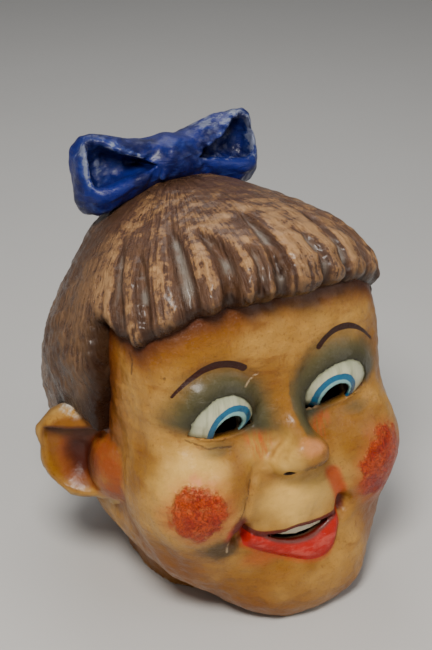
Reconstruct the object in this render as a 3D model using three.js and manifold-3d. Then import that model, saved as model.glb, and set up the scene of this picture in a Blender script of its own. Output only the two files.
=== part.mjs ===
// A hollow papier-mache carnival head of a smiling girl, big enough to be worn over the wearer's
// own head, with moulded hair and a separately made bow stuck on its crown.
// Millimetres, +Z up. The head looks along -Y and stands on its neck rim and chin.
// The origin is in the middle of the floor that the object covers.

import * as THREE from 'three';
import { mergeVertices } from 'three/addons/utils/BufferGeometryUtils.js';
import Module from 'manifold-3d';

const wasm = await Module();
wasm.setup();

// Driving dimensions. Places in the head are measured in its own upright frame: x to the side,
// y to the back, z up from the underside of the chin. Every side feature is made on both sides.
const lean = THREE.MathUtils.degToRad(10);    // how far the upright head is tipped back
const chinFront = -177.5;                       // where the chin's underside touches the table
const wall = 7;                               // thickness of the moulded paper
const hollow = { fade: 0.4, coverFrom: 8, coverTo: 45 };        // how it passes from the skin to the hair
const glueGap = 0.4;                          // between the bow and the hair under it

const skull = { at: [2, 95, 245], half: [139, 105, 146], square: 3.2, barrel: 3 };
const lowerFace = { at: [6, 73, 112], half: [135, 83, 98], square: 2.6, barrel: 2 };
const chin = { at: [18, 37, 43], half: [75, 54, 50], square: 2.5, barrel: 2.1 };
const cheek = { at: [82, 38, 158], half: [57, 60, 55] };
const muzzle = { at: [-4, 28, 132], half: [46, 46, 40] };
const eyeHollow = { at: [66, -26, 244], half: [42, 32, 34] };
const eyeball = { at: [62, 24, 248], half: [50, 38, 42], aside: -4 };
const noseRidge = { from: [0, 3, 228], to: [1, -28, 196], thick: [12, 15] };
const noseTip = { at: [2, -32, 190], half: [20, 16, 13] };
const noseWings = { at: [-1, -8, 178], half: [29, 28, 17], lift: 0.3 };
const neck = { width: 188, depth: 182, middle: -15.5, square: 2.5, flare: 0.42, flareTop: 90 };
const neckReach = { top: 190, foot: -60 };
const bareSkin = { from: [85, 190], to: [115, 230], clear: 400 };      // y and z where the hair takes over

// The mouth's edges are heights along a share that runs from -1 to 1 between its corners.
const mouth = { middle: -5, half: 53, upper: 107.5, slant: -3.2, dip: 3, dipWidth: 0.25, upperRise: [14, 6] };
const gap = { from: -0.52, to: 0.73, low: 92, middle: 0.22, rise: [24, 36], under: 2.6, near: -30, far: 40 };
const lowerLip = { low: 67.5, middle: 0.4, rise: [22, 257], power: [1.4, 4], deep: 10, out: 4, full: 6 };
const upperLip = { above: 7, below: 2.4, deep: 6, out: 2.6, full: 4 };
const teeth = { from: -0.42, to: 0.6, low: 98.2, middle: 0.2, rise: [23, 10], near: 2.4, far: 11.4 };
const gum = 3;                                // how far the teeth go up behind the lip
const least = { lip: 3, opening: 0.2 };       // how thin a lip or the opening may get towards the corners
const pupil = { at: [59, 228], width: 30, height: 21, aside: -4, deep: 70, back: 40 };
const nostril = { at: [11, -24, 169], half: [4.5, 7, 5] };
const ear = { at: [154, 132, 178], turn: 40 };
const earCup = { at: [-4, 1, 4], half: [48.5, 15, 50] };
const earDish = { at: [0, -19, -2], half: [35, 26, 34] };
const earLedge = { at: [131, 108, 168], half: [25, 36, 33] };

const crown = { at: [0, 160, 320], half: [98, 104, 96] };
const fringe = { at: [0, 100, 346], half: [141, 138, 58], square: 2.2, barrel: 2.8, under: 36 };
const fringeDroop = { by: 30, at: 128 };
const helmet = { at: [0, 164, 222], half: [157, 172, 122], square: 2.3, barrel: 2.2 };
const temples = { at: [0, 132, 266], half: [143, 66, 62], square: 3, barrel: 3 };
const hairThick = 5;                          // the least that the hair stands out from the skin
const hairMiddle = new THREE.Vector3(0, 140, 250);
const fringeEdge = { middle: 334, corner: 303, cornerAngle: 50, notch: 320, endAngle: 66 };
const sideEdge = { start: 212, top: 226, nape: 120, earAngle: 85, behindAngle: 93, backAngle: 115 };
const locks = { count: 13, depth: 7, sway: 6, uneven: 0.25, rhythm: 2.4, ridge: 0.25, fade: [0.12, 0.5] };
const joins = {
  fringe: 44, helmet: 40, temples: 30, jaw: 26, chin: 22, cheek: 28, muzzle: 14, sockets: 30, neck: 6,
  tip: 8, wings: 14, noseRoot: 14, noseRootSink: 3, hairOnSkin: 16,
};
const hairNet = { backColumns: 23, down: 15, rolled: 2, notch: 1.5, rollIn: 0.8, crowding: 0.8 };

const bow = { at: [-4, 188, 438], reach: 100, knotHalf: 18, loopHalf: 48, depth: 56, wall: 11, droop: 3 };
const bowKnot = { at: [-4, 184, 440], half: [26, 31.4, 23.4] };
const bowCorners = { ends: 0.35, front: 0.6, top: 0.7, wallInDepth: 0.6, hollowForward: 1.6 };

const paint = {
  skin: { color: 0xc98f4e, roughness: 0.45, metalness: 0 },
  bow: { color: 0x1d2a8f, roughness: 0.5, metalness: 0 },
};

// Forms: each gives roughly how far a point of the upright head lies outside a mass.

function smoothJoin(a, b, blend) {
  const share = THREE.MathUtils.clamp(0.5 + 0.5 * (b - a) / blend, 0, 1);
  return THREE.MathUtils.lerp(b, a, share) - blend * share * (1 - share);
}

function smoothCut(a, b, blend) {
  return -smoothJoin(-a, b, blend);
}

function eggForm(p, { at, half }, side = Math.abs(p.x)) {
  const x = side - at[0];
  const y = p.y - at[1];
  const z = p.z - at[2];
  const far = Math.hypot(x / half[0], y / half[1], z / half[2]);
  const slope = Math.hypot(x / half[0] ** 2, y / half[1] ** 2, z / half[2] ** 2) + 1e-9;
  return far * (far - 1) / slope;
}

function boxyForm(p, { at, half, square, barrel, under = half[2] }, steep = 0.9) {
  const x = Math.abs(p.x - at[0]) / half[0];
  const y = Math.abs(p.y - at[1]) / half[1];
  const z = Math.abs(p.z - at[2]) / (p.z > at[2] ? half[2] : under);
  const plan = (x ** square + y ** square) ** (1 / square);
  const far = (plan ** barrel + z ** barrel) ** (1 / barrel);
  return (far - 1) * steep * Math.min(...half);
}

function limbForm(p, { from, to, thick }) {
  const a = new THREE.Vector3(...from);
  const b = new THREE.Vector3(...to).sub(a);
  const q = p.clone().sub(a);
  const along = THREE.MathUtils.clamp(q.dot(b) / b.lengthSq(), 0, 1);
  return q.sub(b.multiplyScalar(along)).length() - THREE.MathUtils.lerp(thick[0], thick[1], along);
}

function overTable(p) {
  return new THREE.Vector3(
    p.x,
    chinFront + p.y * Math.cos(lean) + p.z * Math.sin(lean),
    p.z * Math.cos(lean) - p.y * Math.sin(lean),
  );
}

function neckForm(p) {
  const stood = overTable(p);
  const flare = 1 + neck.flare * THREE.MathUtils.smoothstep(stood.z, 0, neck.flareTop);
  const x = Math.abs(stood.x) / (neck.width / 2 * flare);
  const y = Math.abs(stood.y - neck.middle) / (neck.depth / 2 * flare);
  const plan = (x ** neck.square + y ** neck.square) ** (1 / neck.square);
  return Math.max((plan - 1) * neck.depth / 2, stood.z - neckReach.top, neckReach.foot - stood.z);
}

function hairForm(p) {
  const droop = fringeDroop.by * (p.x / fringeDroop.at) ** 2;
  const bent = new THREE.Vector3(p.x, p.y, p.z + droop);
  const top = smoothJoin(eggForm(p, crown), boxyForm(bent, fringe), joins.fringe);
  const round = smoothJoin(top, boxyForm(p, helmet), joins.helmet);
  return smoothJoin(round, boxyForm(p, temples), joins.temples);
}

function plainFace(p) {
  let d = boxyForm(p, skull);
  d = smoothJoin(d, boxyForm(p, lowerFace), joins.jaw);
  d = smoothJoin(d, boxyForm(p, chin), joins.chin);
  d = smoothJoin(d, eggForm(p, cheek), joins.cheek);
  d = smoothJoin(d, eggForm(p, muzzle, p.x), joins.muzzle);
  d = smoothCut(d, eggForm(p, eyeHollow), joins.sockets);
  const back = THREE.MathUtils.smoothstep(p.y, bareSkin.from[0], bareSkin.to[0]);
  const high = THREE.MathUtils.smoothstep(p.z, bareSkin.from[1], bareSkin.to[1]);
  d = Math.max(d, hairForm(p) + hairThick - bareSkin.clear * (1 - back * high));
  return smoothJoin(d, neckForm(p), joins.neck);
}

function faceForm(p) {
  return smoothJoin(plainFace(p), limbForm(p, noseRidge) + joins.noseRootSink, joins.noseRoot);
}

function noseForm(p) {
  const lifted = p.clone();
  lifted.z += noseWings.lift * (p.y - noseWings.at[1]);
  const front = smoothJoin(limbForm(p, noseRidge), eggForm(p, noseTip, p.x), joins.tip);
  return smoothJoin(front, eggForm(lifted, noseWings, lifted.x), joins.wings);
}

// A ray goes out from a middle point and stops where it leaves the form for the last time.

function reach(form, middle, way, level = 0, longest = 330) {
  const p = new THREE.Vector3();
  const step = 4;
  const value = (far) => form(p.copy(way).multiplyScalar(far).add(middle)) - level;
  let far = longest;
  while (far > step && value(far) > 0) far -= step;
  let inside = far;
  let outside = far + step;
  for (let i = 0; i < 14; i += 1) {
    const half = (inside + outside) / 2;
    if (value(half) > 0) outside = half;
    else inside = half;
  }
  return inside;
}

// A sphere's net is laid over a form: place gives each corner from its turn round the net and its
// fall from the top pole to the bottom one, both as shares.

function layNet(across, down, place) {
  const net = new THREE.SphereGeometry(1, across, down);
  const corner = net.attributes.position;
  const share = net.attributes.uv;
  for (let i = 0; i < corner.count; i += 1) {
    const row = Math.round((1 - share.getY(i)) * down);
    const column = i % (across + 1) % across;
    const pole = row === 0 || row === down;
    const put = place(pole ? 0 : column / across, row / down);
    corner.setXYZ(i, put.x, put.y, put.z);
  }
  return net;
}

function compass(turn, rise) {
  return new THREE.Vector3(
    Math.sin(turn) * Math.cos(rise),
    -Math.cos(turn) * Math.cos(rise),
    Math.sin(rise),
  );
}

function solid(geometry, matrix) {
  const bare = geometry.index ? geometry : mergeVertices(geometry);
  bare.deleteAttribute('normal');
  bare.deleteAttribute('uv');
  if (matrix) bare.applyMatrix4(matrix);
  const merged = mergeVertices(bare, 1e-3);
  const triVerts = [];
  for (let i = 0; i < merged.index.count; i += 3) {
    const [a, b, c] = [0, 1, 2].map((k) => merged.index.getX(i + k));
    if (a !== b && b !== c && c !== a) triVerts.push(a, b, c);
  }
  const mesh = new wasm.Mesh({
    numProp: 3,
    vertProperties: Float32Array.from(merged.attributes.position.array),
    triVerts: Uint32Array.from(triVerts),
  });
  mesh.merge();
  return new wasm.Manifold(mesh);
}

const tipBack = new THREE.Matrix4().makeRotationX(-lean).setPosition(0, chinFront, 0);

function headNet(form, middle, across, down, focus, rows, level = 0) {
  return layNet(across, down, (u, v) => {
    const turn = 2 * Math.PI * (u - 0.5);
    const warped = turn - focus * Math.sin(turn);
    const rise = Math.PI * (0.5 - v);
    const bent = rise - rows * Math.sin(2 * rise) / 2;
    const way = compass(warped, bent);
    return way.clone().multiplyScalar(reach(form, middle, way, level)).add(middle);
  });
}

const faceMiddle = new THREE.Vector3(0, 112, 186);
const noseMiddle = new THREE.Vector3(0, 6, 186);

function ball({ at, half, aside = 0 }, side, across, down) {
  const egg = new THREE.SphereGeometry(1, across, down);
  egg.rotateX(Math.PI / 2).scale(...half).translate(side * at[0] + aside, at[1], at[2]);
  return solid(egg, tipBack);
}

// A height that rises on both sides of its middle, each side by its own amount.

function rising(low, [near, far], off, power) {
  return low + (off < 0 ? near : far) * Math.abs(off) ** power;
}

function upperHeight(share) {
  const dip = mouth.dip * Math.exp(-((share / mouth.dipWidth) ** 2));
  return rising(mouth.upper + mouth.slant * share + dip, mouth.upperRise, share, 5);
}

function gapEdges(share) {
  return [upperHeight(share) - gap.under, rising(gap.low, gap.rise, share - gap.middle, 2)];
}

function lowerLipEdges(share) {
  const off = share - lowerLip.middle;
  const [top, low] = gapEdges(share);
  const power = off < 0 ? lowerLip.power[0] : lowerLip.power[1];
  return [Math.min(top, low), rising(lowerLip.low, lowerLip.rise, off, power)];
}

function upperLipEdges(share) {
  return [upperHeight(share) + upperLip.above, upperHeight(share) - upperLip.below];
}

function teethEdges(share) {
  return [upperHeight(share) + gum, rising(teeth.low, teeth.rise, share - teeth.middle, 2)];
}

// The point of the plain face at a share of the mouth and a height.

function onFace(share, height) {
  const start = new THREE.Vector3(mouth.middle + share * mouth.half, skull.at[1], height);
  start.y -= reach(plainFace, start, new THREE.Vector3(0, -1, 0));
  return start;
}

function makeLip(edges, { deep, out, full }) {
  return solid(layNet(8, 14, (u, v) => {
    const share = 2 * v - 1;
    const [top, low] = edges(share);
    const swell = Math.sqrt(Math.max(0, 1 - Math.abs(share) ** full));
    const turn = 2 * Math.PI * u;
    const put = onFace(share, (top + low) / 2);
    put.z += swell * Math.cos(turn) * Math.max(top - low, least.lip) / 2;
    put.y += swell * (deep * (1 + Math.sin(turn)) - out);
    return put;
  }), tipBack);
}

// A bar between two edges of the mouth: the open gap, and the strip of teeth.

function mouthBar(edges, { from, to, near, far }) {
  return solid(layNet(4, 10, (u, v) => {
    const share = THREE.MathUtils.lerp(from, to, v);
    const [top, low] = edges(share);
    const put = onFace(share, (top + low) / 2);
    if (v === 0 || v === 1) return put;
    const corner = Math.round(u * 4);
    put.z = corner === 0 || corner === 1 ? Math.max(top, low + least.opening) : low;
    put.y += corner === 0 || corner === 3 ? near : far;
    return put;
  }), tipBack);
}

function hairEdge(turn) {
  const from = Math.abs(turn);
  const corner = THREE.MathUtils.degToRad(fringeEdge.cornerAngle);
  const end = THREE.MathUtils.degToRad(fringeEdge.endAngle);
  if (from < corner) {
    return THREE.MathUtils.lerp(fringeEdge.middle, fringeEdge.corner, (from / corner) ** 3);
  }
  if (from < end) {
    return THREE.MathUtils.lerp(fringeEdge.corner, fringeEdge.notch, (from - corner) / (end - corner));
  }
  const { start, top, nape, earAngle, behindAngle, backAngle } = sideEdge;
  const [overEar, behind, back] = [earAngle, behindAngle, backAngle].map(THREE.MathUtils.degToRad);
  const side = THREE.MathUtils.lerp(start, top, Math.min(1, (from - end) / (overEar - end)));
  return THREE.MathUtils.lerp(side, nape, THREE.MathUtils.smoothstep(from, behind, back));
}

// Three columns of the net make one lock of the fringe: a groove and the two flanks of a ridge.

function hairTurn(column) {
  const front = 3 * locks.count;
  const end = THREE.MathUtils.degToRad(fringeEdge.endAngle);
  if (column <= front) return THREE.MathUtils.lerp(-end, end, column / front);
  const step = THREE.MathUtils.degToRad(hairNet.notch);
  const share = (column - front - 1) / (hairNet.backColumns - 2);
  return THREE.MathUtils.lerp(end + step, 2 * Math.PI - end - step, share);
}

function lockDepth(column, fall) {
  if (column === 0 || column >= 3 * locks.count) return 0;
  const order = Math.floor(column / 3);
  const deep = locks.depth * (1 - locks.uneven * (1 - Math.sin(order * locks.rhythm)));
  const fade = THREE.MathUtils.smoothstep(fall, ...locks.fade);
  return column % 3 === 0 ? -deep * fade : locks.ridge * deep * fade;
}

function makeHair() {
  const across = 3 * locks.count + hairNet.backColumns;
  const { down, rolled } = hairNet;
  const last = down - rolled;
  return solid(layNet(across, down, (u, v) => {
    const column = Math.round(u * across);
    const row = v * down;
    const fall = Math.min(1, row / last);
    const turn = hairTurn(column);
    const edge = hairEdge(turn > Math.PI ? turn - 2 * Math.PI : turn);
    const level = compass(turn, 0);
    const start = new THREE.Vector3(0, hairMiddle.y, edge);
    const out = reach(hairForm, start, level);
    const low = Math.atan2(edge - hairMiddle.z, out);
    const sway = THREE.MathUtils.degToRad(locks.sway) * Math.sin(Math.PI * fall) * Math.cos(turn / 2);
    const rise = THREE.MathUtils.lerp(Math.PI / 2, low, fall ** hairNet.crowding);
    const way = compass(turn + (v > 0 ? sway : 0), rise);
    const outside = reach(hairForm, hairMiddle, way);
    const skin = reach(plainFace, hairMiddle, way) + hairThick;
    let far = -smoothJoin(-outside, -skin, joins.hairOnSkin) + lockDepth(column, fall);
    if (row > last) far *= hairNet.rollIn * (down - row) / rolled;
    return way.multiplyScalar(far).add(hairMiddle);
  }), tipBack);
}

function pupilHole(side) {
  const outline = new THREE.Shape();
  outline.absellipse(0, 0, pupil.width / 2, pupil.height / 2, 0, 2 * Math.PI);
  const cutter = { depth: pupil.deep, bevelEnabled: false, curveSegments: 8 };
  const plug = new THREE.ExtrudeGeometry(outline, cutter);
  plug.rotateX(Math.PI / 2).translate(side * pupil.at[0] + pupil.aside, pupil.back, pupil.at[1]);
  return solid(plug, tipBack);
}

function makeEar(side) {
  const turned = new THREE.Matrix4().makeRotationZ(side * THREE.MathUtils.degToRad(ear.turn));
  turned.setPosition(side * ear.at[0], ear.at[1], ear.at[2]);
  turned.premultiply(tipBack);
  const [cup, dish] = [earCup, earDish].map(({ at, half }) => {
    const egg = new THREE.SphereGeometry(1, 16, 11);
    egg.rotateX(Math.PI / 2).scale(...half).translate(side * at[0], at[1], at[2]);
    return solid(egg, turned);
  });
  return cup.subtract(dish).add(ball(earLedge, side, 10, 8));
}

function makeNose() {
  return solid(headNet(noseForm, noseMiddle, 22, 19, 0.4, 0.3), tipBack);
}

// The hollow follows the outside at the wall's thickness, up into the hair and out through the
// neck, and leaves the chin a floor.

function hollowForm(p) {
  const stood = overTable(p);
  const throat = neckForm(p) + wall;
  return Math.max(plainFace(p) + wall, Math.min(wall - stood.z, throat));
}

function makeHollow() {
  return solid(layNet(28, 17, (u, v) => {
    const turn = 2 * Math.PI * (u - 0.5);
    const way = compass(turn, Math.PI * (0.5 - v));
    const skin = reach(hollowForm, faceMiddle, way);
    const end = THREE.MathUtils.degToRad(fringeEdge.endAngle);
    const carved = locks.depth * (1 - THREE.MathUtils.smoothstep(Math.abs(turn), end, end + hollow.fade));
    const hair = reach(hairForm, faceMiddle, way, -wall - carved);
    const top = way.clone().multiplyScalar(hair).add(faceMiddle);
    const edge = hairEdge(Math.atan2(top.x, hairMiddle.y - top.y));
    const cover = THREE.MathUtils.smoothstep(top.z, edge + hollow.coverFrom, edge + hollow.coverTo);
    const far = THREE.MathUtils.lerp(skin, Math.max(skin, hair), cover);
    return way.multiplyScalar(far).add(faceMiddle);
  }), tipBack);
}

function makeHead() {
  let head = solid(headNet(faceForm, faceMiddle, 48, 32, 0.5, 0.45), tipBack);
  for (const side of [-1, 1]) {
    head = head.add(ball(eyeball, side, 20, 12));
    head = head.add(makeEar(side));
  }
  head = head.add(makeHair()).add(makeNose());
  head = head.add(makeLip(lowerLipEdges, lowerLip)).add(makeLip(upperLipEdges, upperLip));
  head = head.subtract(makeHollow()).subtract(mouthBar(gapEdges, gap));
  head = head.add(mouthBar(teethEdges, teeth));
  for (const side of [-1, 1]) {
    head = head.subtract(pupilHole(side)).subtract(ball(nostril, side, 8, 6));
  }
  const table = new THREE.BoxGeometry(800, 800, 200).translate(0, 0, -100);
  return head.subtract(solid(table));
}

const head = makeHead();

function bowLoop(side) {
  const body = (across, down, shrink, forward) => solid(layNet(across, down, (u, v) => {
    const turn = side * 2 * Math.PI * u;
    const fall = Math.PI * v;
    const out = 0.5 - 0.5 * Math.cos(fall);
    const half = THREE.MathUtils.lerp(bow.knotHalf, bow.loopHalf, out) - shrink;
    const deep = bow.depth / 2 - shrink * bowCorners.wallInDepth;
    const ring = Math.sin(fall) ** bowCorners.ends;
    const c = Math.cos(turn);
    const s = Math.sin(turn);
    return new THREE.Vector3(
      bow.at[0] + side * (shrink + out * (bow.reach - 2 * shrink)),
      bow.at[1] + deep * ring * Math.sign(s) * Math.abs(s) ** bowCorners.front - forward,
      bow.at[2] - bow.droop * out + half * ring * Math.sign(c) * Math.abs(c) ** bowCorners.top,
    );
  }), tipBack);
  return body(12, 9, 0, 0).subtract(body(10, 7, bow.wall, bow.wall * bowCorners.hollowForward));
}

function makeBow(under) {
  return bowLoop(1).add(bowLoop(-1)).add(ball(bowKnot, 1, 12, 8)).subtract(under);
}

function meshOf(name, body, finish) {
  const { vertProperties, triVerts, numProp } = body.getMesh();
  const geometry = new THREE.BufferGeometry();
  const corners = new Float32Array(vertProperties.length / numProp * 3);
  for (let i = 0; i < corners.length / 3; i += 1) {
    for (let k = 0; k < 3; k += 1) corners[3 * i + k] = vertProperties[numProp * i + k];
  }
  geometry.setAttribute('position', new THREE.BufferAttribute(corners, 3));
  geometry.setIndex(new THREE.BufferAttribute(triVerts, 1));
  geometry.computeVertexNormals();
  const mesh = new THREE.Mesh(geometry, new THREE.MeshStandardMaterial(finish));
  mesh.name = name;
  return mesh;
}

const carnivalHead = new THREE.Group();
carnivalHead.add(meshOf('papier_mache_head', head, paint.skin));
const bowMesh = meshOf('hair_bow', makeBow(head), paint.bow);
bowMesh.position.z = glueGap;
carnivalHead.add(bowMesh);

export default carnivalHead;
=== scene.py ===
import math
import bpy
import numpy as np
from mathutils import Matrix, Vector


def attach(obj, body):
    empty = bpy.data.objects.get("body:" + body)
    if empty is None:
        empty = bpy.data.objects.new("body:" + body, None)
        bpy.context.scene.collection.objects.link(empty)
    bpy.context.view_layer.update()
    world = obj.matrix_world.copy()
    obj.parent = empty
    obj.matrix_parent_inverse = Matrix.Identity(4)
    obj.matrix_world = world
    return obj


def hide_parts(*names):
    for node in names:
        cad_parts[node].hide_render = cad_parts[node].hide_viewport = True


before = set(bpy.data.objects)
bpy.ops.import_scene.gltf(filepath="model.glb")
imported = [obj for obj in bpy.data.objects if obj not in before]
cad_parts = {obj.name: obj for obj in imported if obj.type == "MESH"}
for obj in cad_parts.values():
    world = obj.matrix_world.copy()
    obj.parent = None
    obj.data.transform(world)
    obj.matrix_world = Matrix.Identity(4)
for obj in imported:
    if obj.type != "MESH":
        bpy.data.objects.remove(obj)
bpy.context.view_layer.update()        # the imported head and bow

# Everything is shaped in millimetres in the head's own upright frame: x to the side, y to the
# back, z up from the underside of the chin. It is tipped back and scaled when a mesh is made.
stance = {"lean": math.radians(10), "chinFront": -177.5, "wall": 7, "scale": 0.001}


def toTable(p):
    c, s = math.cos(stance["lean"]), math.sin(stance["lean"])
    x, y, z = p.T
    return np.column_stack((x, stance["chinFront"] + y * c + z * s, z * c - y * s))


# Small helpers for forms: each gives roughly how far a point lies outside a mass

def smoothstep(x, a, b):
    t = np.clip((x - a) / (b - a), 0, 1)
    return t * t * (3 - 2 * t)


def mixed(a, b, t):
    return a + (b - a) * t


def join(a, b, blend):
    share = np.clip(0.5 + 0.5 * (b - a) / blend, 0, 1)
    return mixed(b, a, share) - blend * share * (1 - share)


def cut(a, b, blend):        # takes mass b out of mass a
    return -join(-a, b, blend)


def meet(a, b, blend):       # what both have
    return -join(-a, -b, blend)


def mirrored(p, middle=0.0):
    return np.column_stack((np.abs(p[:, 0] - middle), p[:, 1], p[:, 2]))


def egg(p, at, half):
    q = p - np.array(at, float)
    far = np.sqrt(((q / half) ** 2).sum(1))
    slope = np.sqrt(((q / np.square(half)) ** 2).sum(1)) + 1e-9
    return far * (far - 1) / slope


def boxy(p, at, half, square, barrel, under=None):
    x = np.abs(p[:, 0] - at[0]) / half[0]
    y = np.abs(p[:, 1] - at[1]) / half[1]
    rise = p[:, 2] - at[2]
    z = np.abs(rise) / np.where(rise > 0, half[2], under or half[2])
    plan = (x ** square + y ** square) ** (1 / square)
    far = (plan ** barrel + z ** barrel) ** (1 / barrel)
    return (far - 1) * 0.9 * min(half)


def limb(p, start, end, thick):
    a = np.array(start, float)
    b = np.array(end, float) - a
    along = np.clip((p - a) @ b / (b @ b), 0, 1)
    return np.linalg.norm(p - a - along[:, None] * b, axis=1) - mixed(thick[0], thick[1], along)


def strand(p, points, thick, ahead=22):      # a line of given thickness, far off it is "ahead" away
    points = np.array(points, float)
    thick = np.broadcast_to(np.array(thick, float), len(points))
    near = np.all((p > points.min(0) - ahead) & (p < points.max(0) + ahead), axis=1)
    out = np.full(len(p), float(ahead))
    q = p[near]
    best = np.full(len(q), float(ahead))
    for i in range(len(points) - 1):
        best = np.minimum(best, limb(q, points[i], points[i + 1], thick[i:i + 2]))
    out[near] = best
    return out


def spotFar(p, at, stretch=(1, 1, 1)):      # how far a point lies from a place, by a stretched measure
    return np.linalg.norm((p - np.array(at)) / stretch, axis=1)


def lumps(p, size, seed, terms=7):      # soft unevenness, about -1 to 1
    rng = np.random.default_rng(seed)
    total = np.zeros(len(p))
    for _ in range(terms):
        way = rng.normal(size=3)
        way *= rng.uniform(0.7, 1.6) / np.linalg.norm(way)
        total += np.sin(p @ way * (2 * math.pi / size) + rng.uniform(0, 6.28))
    return total / math.sqrt(terms)


def roughen(d, p, waves):               # waves: the depth, size and seed of each
    for depth, size, seed in waves:
        d = d + depth * lumps(p, size, seed)
    return d


# Head masses

headMasses = {
    "skull": dict(at=(2, 95, 245), half=(139, 105, 146), square=3.2, barrel=3),
    "lowerFace": dict(at=(6, 73, 112), half=(135, 83, 98), square=2.6, barrel=2),
    "chin": dict(at=(18, 37, 43), half=(75, 54, 50), square=2.5, barrel=2.1),
    "cheek": dict(at=(82, 38, 158), half=(57, 60, 55)),
    "muzzle": dict(at=(-4, 28, 132), half=(46, 46, 40)),
    "eyeHollow": dict(at=(66, -26, 244), half=(42, 32, 34)),
    "dimples": ((-62, -8, 117), (53, -9, 111), (9, 11, 12)),
    "neck": dict(width=188, depth=182, middle=-15.5, square=2.5, flare=0.42, flareTop=90, ends=(-60, 190)),
}
# how softly each mass runs into the ones before it
headBlends = {"lowerFace": 26, "chin": 22, "cheek": 28, "muzzle": 19, "eyeHollow": 30, "dimples": 10,
              "neck": 6, "nose": 11}
eye = {"ball": dict(at=(62, 24, 248), half=(50, 38, 42)), "middle": 62, "inner": (31.5, 39), "half": 35,
       "level": (220, 225), "rise": 38, "sag": 6.5, "lid": 1.3, "lidBlend": 6, "setBack": 1.5, "back": 60,
       "irisAt": (57.5, 226), "irisRing": (23.4, 17.4), "pupilAt": (59, 223.5), "pupil": 15.6, "aside": -4}
nose = {"ridge": ((0, 3, 228), (1, -28, 196), (12, 15)), "tip": dict(at=(2, -32, 190), half=(20, 16, 13)),
        "wings": dict(at=(-1, -8, 178), half=(29, 28, 17)), "lift": 0.3,
        "nostril": ((16.5, -35, 169), (13, -8, 185), (5.2, 4.0)), "square": 2.5,
        "tipBlend": 8, "wingBlend": 14, "nostrilBlend": 2}
mouth = {"middle": -5, "half": 53, "upper": 107.5, "slant": -3.2, "bow": 3, "upperRise": (14, 6),
         "gap": 92, "gapMiddle": 0.22, "gapRise": (24, 36), "gapEnds": 0.8,
         "low": 67.5, "lowMiddle": 0.4, "lowRise": (22, 257), "lowPower": (1.4, 4),
         "teeth": 98.2, "teethMiddle": 0.2, "teethRise": (23, 10), "swell": 4.0, "overhang": 2.6,
         "back": 40, "least": 3, "drop": 1.5, "band": 3.4}


def mouthShare(p):           # -1 to 1 from corner to corner
    return np.clip((p[:, 0] - mouth["middle"]) / mouth["half"], -1.15, 1.15)


def upperHeight(share):      # the edge of the upper lip, which dips on both sides of its middle
    return (mouth["upper"] + mouth["slant"] * share + mouth["bow"] * np.exp(-(share / 0.25) ** 2)
            + np.where(share < 0, *mouth["upperRise"]) * np.abs(share) ** 5)


def gapHeight(share):        # the top edge of the lower lip
    off = share - mouth["gapMiddle"]
    return mouth["gap"] + np.where(off < 0, *mouth["gapRise"]) * off ** 2


def lowHeight(share):        # its bottom edge
    off = share - mouth["lowMiddle"]
    power = np.where(off < 0, *mouth["lowPower"])
    return mouth["low"] + np.where(off < 0, *mouth["lowRise"]) * np.abs(off) ** power


def lowerLip(p):             # place across it, -1 to 1, and half its height
    share = mouthShare(p)
    top = np.minimum(gapHeight(share), upperHeight(share) - mouth["drop"])
    low = lowHeight(share)
    half = np.maximum(top - low, mouth["least"]) / 2
    return (p[:, 2] - (top + low) / 2) / half, half


def lipSwell(p):             # how far the lips stand out of the face
    share = mouthShare(p)
    across, _ = lowerLip(p)
    ends = smoothstep(1 - np.abs(share), 0, 0.15)
    lower = np.clip(1 - across ** 2, 0, 1) ** 0.65 * ends
    over = p[:, 2] - upperHeight(share)
    upper = smoothstep(over, -mouth["overhang"], 0.8) * np.exp(-np.clip(over, 0, 80) / 9)
    upper = upper * smoothstep(1 - np.abs(share), 0, 0.3)
    return np.where(p[:, 1] < mouth["back"], mouth["swell"] * lower + mouth["overhang"] * upper, 0)


def neckForm(p):
    n = headMasses["neck"]
    stood = toTable(p)
    flare = 1 + n["flare"] * smoothstep(stood[:, 2], 0, n["flareTop"])
    x = np.abs(stood[:, 0]) / (n["width"] / 2 * flare)
    y = np.abs(stood[:, 1] - n["middle"]) / (n["depth"] / 2 * flare)
    plan = (x ** n["square"] + y ** n["square"]) ** (1 / n["square"])
    low, high = n["ends"]
    return np.maximum((plan - 1) * n["depth"] / 2, np.maximum(stood[:, 2] - high, low - stood[:, 2]))


# Hair masses

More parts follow.
